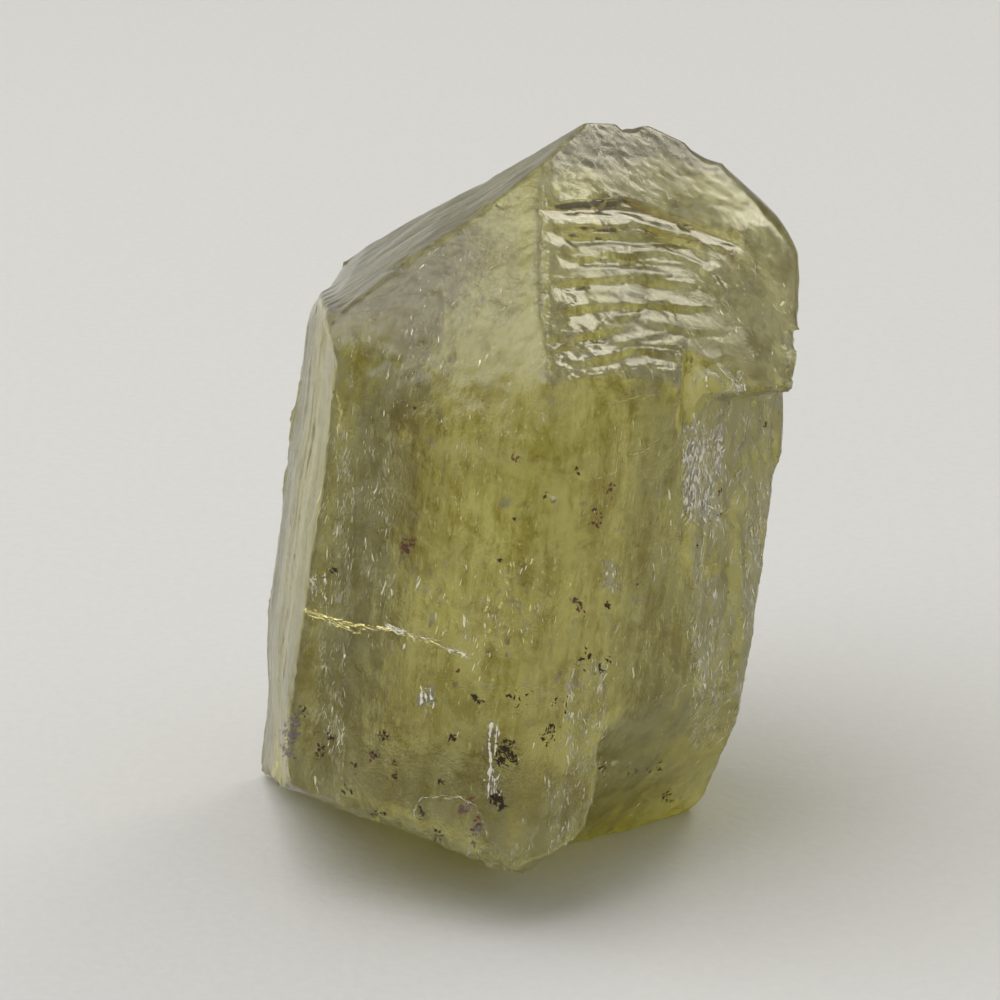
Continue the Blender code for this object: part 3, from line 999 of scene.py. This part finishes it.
BODY_DEPTH, BODY_LENGTH = 0.7, (0.06, 0.34)
ON_TOP = 0.4  # share of the flaws of a cloud that lie in the surface
CLOUD_LENGTHS = (0.2, 0.3, 0.45, 0.7)
CLOUD_THICK, LINE_THICK, GRAIN_THICK = 0.014, 0.016, 0.03
LEAST_DEPTH = 0.03
LINE_BLUR, LINE_ON_TOP, LINE_STEP, SHALLOW = 1.3, 0.6, 0.1, 0.25
SLIVER_LENGTH, SLIVER_WIDTH = (0.06, 0.22), (0.4, 1.2)
GRAIN_LENGTH, GRAIN_WIDTH = (0.03, 0.13), (0.2, 0.7)


def clouds(solid, rng, rows):
    """Flat flaws scattered in patches, those in the surface smaller and slimmer."""
    for left, top, right, bottom, count, half, drawn, near, far in rows:
        for _ in range(count):
            x, y = rng.uniform(left, right), rng.uniform(top, bottom)
            if rng.random() > 0.55 + 0.9 * rough(x / 22.0, y / 40.0, left):
                continue
            on_top = rng.random() < ON_TOP
            place, normal = solid.behind(x, y, ON_SURFACE if on_top else rng.uniform(near, far))
            if place is None:
                continue
            shorter, slimmer, lean = (0.75, 0.6, 0.08) if on_top else (1.0, 1.0, 0.6)
            length = half * rng.choice(CLOUD_LENGTHS) * rng.uniform(0.7, 1.3) * shorter
            if not on_top and solid.depth(place) < LEAST_DEPTH:
                continue
            tilt = (normal + lean * any_way(rng)).normalized()
            along = (AXIS + 0.35 * any_way(rng)).normalized()
            yield place, tilt, along, length, length / drawn * rng.uniform(0.3, 1.1) * slimmer, CLOUD_THICK


def slivers(solid, rng, rows):
    """Broken bright lines, each a row of slivers that follow it."""
    for flat, half, near, far, number in rows:
        line = pairs(flat)
        for (x1, y1), (x2, y2) in zip(line, line[1:]):
            count = max(1, round(number * math.hypot(x2 - x1, y2 - y1) / PER_MM))
            for i in range(count):
                t = (i + rng.random()) / count
                x, y = x1 + t * (x2 - x1), y1 + t * (y2 - y1) + rng.gauss(0, LINE_BLUR)
                depth = rng.uniform(near, far)
                if far < SHALLOW and rng.random() < LINE_ON_TOP:
                    depth = ON_SURFACE
                place, normal = solid.behind(x, y, depth)
                onward, _ = solid.behind(x + LINE_STEP * (x2 - x1), y + LINE_STEP * (y2 - y1), depth)
                if place is None or onward is None or (onward - place).length > 1.0:
                    continue
                if depth > 0.0 and solid.depth(place) < LEAST_DEPTH / 2:
                    continue
                along = onward - place + 0.002 * any_way(rng)
                lean, slim = (0.08, 0.35) if depth < 0.0 else (0.3, 1.0)
                facing, length = normal + lean * any_way(rng), rng.uniform(*SLIVER_LENGTH)
                yield place, facing, along, length, slim * half * rng.uniform(*SLIVER_WIDTH), LINE_THICK


def grains(solid, rng, rows):
    """Small thick grains in the surface, crowded around some places."""
    for x, y, reach, count in rows:
        for _ in range(2 * count):
            near_x, near_y = x + rng.gauss(0, 0.5) * reach, y + rng.gauss(0, 0.6) * reach
            place, normal = solid.behind(near_x, near_y, ON_SURFACE)
            if place is None:
                continue
            length = rng.uniform(*GRAIN_LENGTH)
            facing, along = normal + 0.15 * any_way(rng), 0.6 * AXIS + any_way(rng)
            yield place, facing, along, length, length * rng.uniform(*GRAIN_WIDTH), GRAIN_THICK


def body(solid, rng, number):
    """Flaws all through the crystal, most of them along its length."""
    for _ in range(number):
        place = None
        while place is None or solid.depth(place) < BODY_DEPTH or rough(*(place * 0.35), 3) < -0.12:
            place = Vector([rng.uniform(solid.low[k], solid.high[k]) for k in range(3)])
        length, side = rng.uniform(*BODY_LENGTH), any_way(rng)
        side = (side - 0.8 * side.dot(AXIS) * AXIS).normalized()
        along = AXIS + 0.5 * any_way(rng)
        yield place, side, along, length, length * rng.uniform(0.2, 0.6), GRAIN_THICK


def crystal_surface(material, places, faces, layers):
    """The piece that shows in place of the solid, with one value at each point for every layer."""
    mesh = bpy.data.meshes.new("crystal_surface")
    mesh.from_pydata((places * MM).tolist(), [], faces.tolist())
    for name, values in layers.items():
        layer = mesh.attributes.new(name, "FLOAT", "POINT")
        layer.data.foreach_set("value", values.astype(np.float32))
    mesh.shade_smooth()
    mesh.set_sharp_from_angle(angle=math.radians(SHARP_ANGLE))
    made = new_object("crystal_surface", mesh, material)
    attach(made, "root")
    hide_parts("crystal")


# Materials
ALPHA = (1.0,)


class Nodes:
    """The nodes of a material or world. An input is a value or another node's output."""

    def __init__(self, owner):
        owner.use_nodes = True
        self.tree = owner.node_tree
        self.tree.nodes.clear()

    def add(self, kind, inputs=None, **settings):
        made = self.tree.nodes.new("ShaderNode" + kind)
        for key, value in settings.items():
            setattr(made, key, value)
        return self.put(made, inputs or {})

    def put(self, made, inputs):
        for key, value in inputs.items():
            if isinstance(value, bpy.types.NodeSocket):
                self.tree.links.new(value, made.inputs[key])
            else:
                made.inputs[key].default_value = value
        return made

    def noise(self, place, scale, detail=4.0, roughness=0.5, distortion=0.0):
        inputs = {"Vector": place, "Scale": scale, "Detail": detail, "Roughness": roughness}
        return self.add("TexNoise", {**inputs, "Distortion": distortion}).outputs["Fac"]

    def spread(self, value, low, high, to_low=0.0, to_high=1.0):
        return self.add("MapRange", {0: value, 1: low, 2: high, 3: to_low, 4: to_high}).outputs[0]

    def mix(self, factor, a, b, blend_type="MIX"):
        inputs = {0: factor, 6: a + ALPHA if isinstance(a, tuple) else a, 7: b + ALPHA}
        return self.add("Mix", inputs, data_type="RGBA", blend_type=blend_type).outputs[2]

    def times(self, a, b):
        return self.add("Math", {0: a, 1: b}, operation="MULTIPLY").outputs[0]

    def plus(self, a, b):
        return self.add("Math", {0: a, 1: b}, operation="ADD").outputs[0]

    def attribute(self, name):
        return self.add("Attribute", attribute_name=name).outputs["Fac"]

    def bump(self, height, distance, strength):
        inputs = {"Height": height, "Distance": distance, "Strength": strength}
        return self.add("Bump", inputs).outputs[0]

    def place(self):
        return self.add("TexCoord").outputs["Object"]

    def crystal_place(self, stretch=1.0):
        """Object coordinates in millimetres with Z along the crystal, drawn out along it by the stretch."""
        turn = Matrix((RIGHT, -FRONT, AXIS)).to_euler()
        turned = self.add("Mapping", {"Vector": self.place(), "Rotation": turn, "Scale": (1 / MM,) * 3})
        inputs = {"Vector": turned.outputs[0], "Scale": (1.0, 1.0, 1.0 / stretch)}
        return self.add("Mapping", inputs).outputs[0]


def new_material(name):
    """A material with its nodes, its shader and its output."""
    material = bpy.data.materials.new(name)
    nodes = Nodes(material)
    shader = nodes.add("BsdfPrincipled")
    return material, nodes, shader, nodes.add("OutputMaterial", {"Surface": shader.outputs[0]})


CLEAR = 0.9
ABSORPTION_COLOUR = (0.78, 0.755, 0.0, 1.0)
ABSORPTION_DENSITY = 165.0
TINT_PALE = (0.98, 0.97, 0.80)
TINT_DARK = (0.43, 0.37, 0.12)
# The olive of the painted shade
PAINTED_SHADE_OLIVE = (0.36, 0.32, 0.13)
FLECK_PALE = (1.0, 1.0, 0.92)
FLECK_BROWN = (0.34, 0.24, 0.10)
STAIN_AND_SHADE_BROWN = (0.30, 0.17, 0.07)
FROST_WHITE = (0.97, 0.96, 0.92)
# Noises: scale, detail, roughness and distortion
MOTTLE = (0.7, 6.0, 0.68, 0.6)
STREAK = (2.4, 6.0, 0.7)
GRAIN = (5.0, 4.0, 0.6)
SLIVERS = (7.0, 3.0, 0.6, 0.4)
SPECKS = (9.0, 3.0, 0.6, 1.0)
ETCHING = (2.6, 5.0, 0.65)
STREAK_STRETCH, SLIVER_STRETCH = 5.0, 3.0
ETCH_DEPTH = 0.00004
FROST_ROUGHNESS = 0.4


def crystal_material():
    """Clear yellow-green mineral, mottled, flecked, stained and frosted, with painted shade in places and
    along the ledges.
    """
    material, nodes, shader, out = new_material("apatite_clear")
    place = nodes.crystal_place()
    mottle = nodes.noise(place, *MOTTLE)
    streak = nodes.noise(nodes.crystal_place(STREAK_STRETCH), *STREAK)
    slivers = nodes.noise(nodes.crystal_place(SLIVER_STRETCH), *SLIVERS)
    etched = nodes.attribute("etch")
    patch = nodes.spread(nodes.plus(mottle, nodes.times(streak, 0.8)), 0.76, 0.98)
    pale = nodes.times(nodes.spread(slivers, 0.58, 0.68, 0.0, 0.9), etched)
    specks = nodes.spread(nodes.noise(place, *SPECKS), 0.66, 0.72, 0.0, 0.9)
    brown = nodes.times(specks, nodes.spread(mottle, 0.45, 0.6, 1.0, 0.2))
    frosted = nodes.times(nodes.attribute("frost"), nodes.spread(streak, 0.35, 0.65, 0.5, 1.0))
    colour = nodes.mix(patch, TINT_DARK, TINT_PALE)
    # Mixed in over the mottle: painted shade, pale and brown flecks, frosting, and brown stains with
    # painted shade along the ledges
    for amount, other in (
        (nodes.attribute("shade"), PAINTED_SHADE_OLIVE), (pale, FLECK_PALE), (brown, FLECK_BROWN),
        (frosted, FROST_WHITE), (nodes.attribute("stain"), STAIN_AND_SHADE_BROWN),
    ):
        colour = nodes.mix(amount, colour, other)
    smooth = nodes.spread(nodes.noise(place, *GRAIN), 0.3, 0.7, 0.03, 0.13)
    depth = nodes.times(nodes.plus(nodes.noise(place, *ETCHING), nodes.times(streak, 0.6)), etched)
    nodes.put(shader, {
        "Base Color": colour,
        "Roughness": nodes.plus(smooth, nodes.times(frosted, FROST_ROUGHNESS)),
        "Normal": nodes.bump(depth, ETCH_DEPTH, 1.0),
        "IOR": REFRACTIVE_INDEX,
        "Transmission Weight": CLEAR,
    })
    volume = nodes.add("VolumeAbsorption", {"Color": ABSORPTION_COLOUR, "Density": ABSORPTION_DENSITY})
    nodes.put(out, {"Volume": volume.outputs[0]})
    return material


# Materials of the flaws and grains: two colours that mottle together, roughness and how metallic
PLAIN = {
    "healed_crack": ((0.97, 0.96, 0.80), (0.86, 0.83, 0.56), 0.25, 0.15),
    "open_crack": ((0.99, 0.96, 0.82), (0.93, 0.89, 0.72), 0.4, 0.0),
    "violet_stain": ((0.13, 0.10, 0.12), (0.27, 0.23, 0.25), 0.5, 0.0),
    "gold_crack": ((0.98, 0.90, 0.42), (0.92, 0.84, 0.30), 0.15, 0.7),
    "dark_grain": ((0.015, 0.010, 0.006), (0.06, 0.03, 0.012), 0.8, 0.0),
    "rust_grain": ((0.10, 0.025, 0.015), (0.20, 0.08, 0.045), 0.6, 0.0),
    "body_flaw": ((0.96, 0.96, 0.86), (0.85, 0.84, 0.66), 0.14, 0.9),
}
PLAIN_SCALE = 9.0
PLAIN_BUMP, PLAIN_BUMP_STRENGTH = 0.00002, 0.6


def plain_material(name, colour, other, roughness, metallic):
    """A flaw's or grain's material."""
    material, nodes, shader, _ = new_material(name)
    mottle = nodes.noise(nodes.crystal_place(), PLAIN_SCALE)
    nodes.put(shader, {
        "Base Color": nodes.mix(nodes.spread(mottle, 0.35, 0.65), colour, other),
        "Roughness": nodes.spread(mottle, 0.3, 0.7, roughness * 0.7, roughness * 1.3),
        "Normal": nodes.bump(mottle, PLAIN_BUMP, PLAIN_BUMP_STRENGTH),
        "Metallic": metallic,
    })
    return material


# Studio
CLIP = (0.005, 20.0)
FLOOR_DROP = 0.00005
FLOOR_HALF = 0.9
FLOOR_BACK = 0.45
SWEEP_RADIUS, SWEEP_STEPS = 0.35, 12
WALL_HEIGHT = 0.5
# The paper is painted darker on the floor and lighter up the wall: painted shade and painted light by
# height
PAPER_SHADED_LOW, PAPER_LIT_HIGH, PAPER_LIGHT = (0.70, 0.696, 0.685), (0.83, 0.825, 0.81), (0.97, 0.97, 0.97)
PAPER_GRAIN = (2600.0, 3.0)
SKY_LOW, SKY_HIGH, SKY_STRENGTH = (0.60, 0.60, 0.59), (1.0, 1.0, 0.98), 0.80
# Lights: place, size, power and colour
LIGHTS = {
    "key": ((-0.17, -0.02, 0.32), (0.42, 0.42), 0.82, (1.0, 0.985, 0.96)),
    "rim": ((0.172, 0.230, 0.253), (0.15, 0.09), 0.19, (1.0, 0.95, 0.76)),
}


def set_up(name, data, place, way):
    """A camera or light that looks this way."""
    made = bpy.data.objects.new(name, data)
    made.location = place
    made.rotation_euler = way.to_track_quat("-Z", "Y").to_euler()
    bpy.context.scene.collection.objects.link(made)
    return made


def make_camera():
    data = bpy.data.cameras.new("camera")
    data.lens = LENS
    data.sensor_width = SENSOR
    data.clip_start, data.clip_end = CLIP
    bpy.context.scene.camera = set_up("camera", data, CAMERA_PLACE * MM, CAMERA_AIM - CAMERA_PLACE)


def make_light(name, place, size, power, colour):
    data = bpy.data.lights.new(name, "AREA")
    data.shape = "RECTANGLE"
    data.size, data.size_y = size
    data.energy = power
    data.color = colour
    set_up(name, data, place, CAMERA_AIM * MM - Vector(place))


def paper_material():
    material, nodes, shader, _ = new_material("paper")
    place = nodes.place()
    grain = nodes.noise(place, *PAPER_GRAIN)
    height = nodes.add("SeparateXYZ", {0: place}).outputs[2]
    # Painted shade on the floor, painted light up the wall
    paper = nodes.mix(nodes.spread(height, 0.0, 0.4), PAPER_SHADED_LOW, PAPER_LIT_HIGH)
    nodes.put(shader, {
        "Base Color": nodes.mix(nodes.spread(grain, 0.3, 0.7), paper, PAPER_LIGHT, "MULTIPLY"),
        "Normal": nodes.bump(grain, 0.0001, 0.25),
        "Roughness": 0.85,
        "Specular IOR Level": 0.15,
    })
    return material


def make_floor():
    """A pale sheet that curves up behind the crystal."""
    profile = [(-FLOOR_HALF, 0.0), (0.0, 0.0), (FLOOR_BACK, 0.0)]
    for i in range(1, SWEEP_STEPS + 1):
        a = math.pi / 2 * i / SWEEP_STEPS
        profile.append((FLOOR_BACK + SWEEP_RADIUS * math.sin(a), SWEEP_RADIUS * (1.0 - math.cos(a))))
    profile.append((FLOOR_BACK + SWEEP_RADIUS, SWEEP_RADIUS + WALL_HEIGHT))
    bm = bmesh.new()
    rows = [[bm.verts.new((x, y, z - FLOOR_DROP)) for x in (-FLOOR_HALF, FLOOR_HALF)] for y, z in profile]
    for a, b in zip(rows, rows[1:]):
        bm.faces.new((a[0], a[1], b[1], b[0]))
    mesh = bpy.data.meshes.new("floor")
    bm.to_mesh(mesh)
    bm.free()
    mesh.shade_smooth()
    new_object("floor", mesh, paper_material())


def make_world():
    """Soft light from all round, brighter from above and weaker from the front."""
    world = bpy.data.worlds.new("studio")
    bpy.context.scene.world = world
    nodes = Nodes(world)
    way = nodes.add("SeparateXYZ", {0: nodes.add("TexCoord").outputs["Generated"]})
    colour = nodes.mix(nodes.spread(way.outputs[2], -0.2, 0.9), SKY_LOW, SKY_HIGH)
    front = nodes.spread(way.outputs[1], -0.9, 0.1, 0.2, 1.0)
    shade = nodes.add("Background", {"Color": colour, "Strength": nodes.times(front, SKY_STRENGTH)})
    nodes.add("OutputWorld", {"Surface": shade.outputs[0]})


# Pieces made of flakes: name, kind of flakes, seed, rows or number for them, material
PIECES = (
    ("pale_flaws", clouds, 1, PALE_CLOUDS, "healed_crack"),
    ("white_flaws", clouds, 2, WHITE_CLOUDS, "open_crack"),
    ("gold_flaws", clouds, 3, GOLD_CLOUDS, "gold_crack"),
    ("bright_lines", slivers, 7, BRIGHT_LINES, "open_crack"),
    ("gold_lines", slivers, 9, GOLD_LINES, "gold_crack"),
    ("dark_grains", grains, 4, DARK_GRAINS, "dark_grain"),
    ("rust_grains", grains, 5, RUST_GRAINS, "rust_grain"),
    ("violet_stains", grains, 8, VIOLET_STAINS, "violet_stain"),
    ("body_flaws", body, 6, BODY_FLAWS, "body_flaw"),
)


def main():
    places, faces, frost, etch = displaced_surface()
    solid = Solid(places, faces)
    # The layers: frosting, brown stains with painted shade along the ledges, painted shade, and etching
    layers = {
        "frost": np.maximum(frost, spotted(places, solid.spots(FROST_LINES))),
        "stain": spotted(places, solid.spots(STAIN_AND_SHADE_LINES)),
        "shade": spotted(places, solid.spots(PAINTED_SHADE_LINES)),
        "etch": etch,
    }
    crystal_surface(crystal_material(), places, faces, layers)
    materials = {name: plain_material(name, *row) for name, row in PLAIN.items()}
    for name, kind, seed, rows, material in PIECES:
        rng = random.Random(seed)
        flake_piece(name, kind(solid, rng, rows), rng, materials[material])
    make_floor()
    make_world()
    for name, row in LIGHTS.items():
        make_light(name, *row)
    make_camera()
    scene = bpy.context.scene
    scene.view_settings.view_transform = "Standard"
    scene.cycles.use_denoising = True
    scene.cycles.max_bounces = 14
    scene.cycles.transmission_bounces = 12
    scene.cycles.glossy_bounces = 6
    scene.cycles.sample_clamp_indirect = 6.0


main()
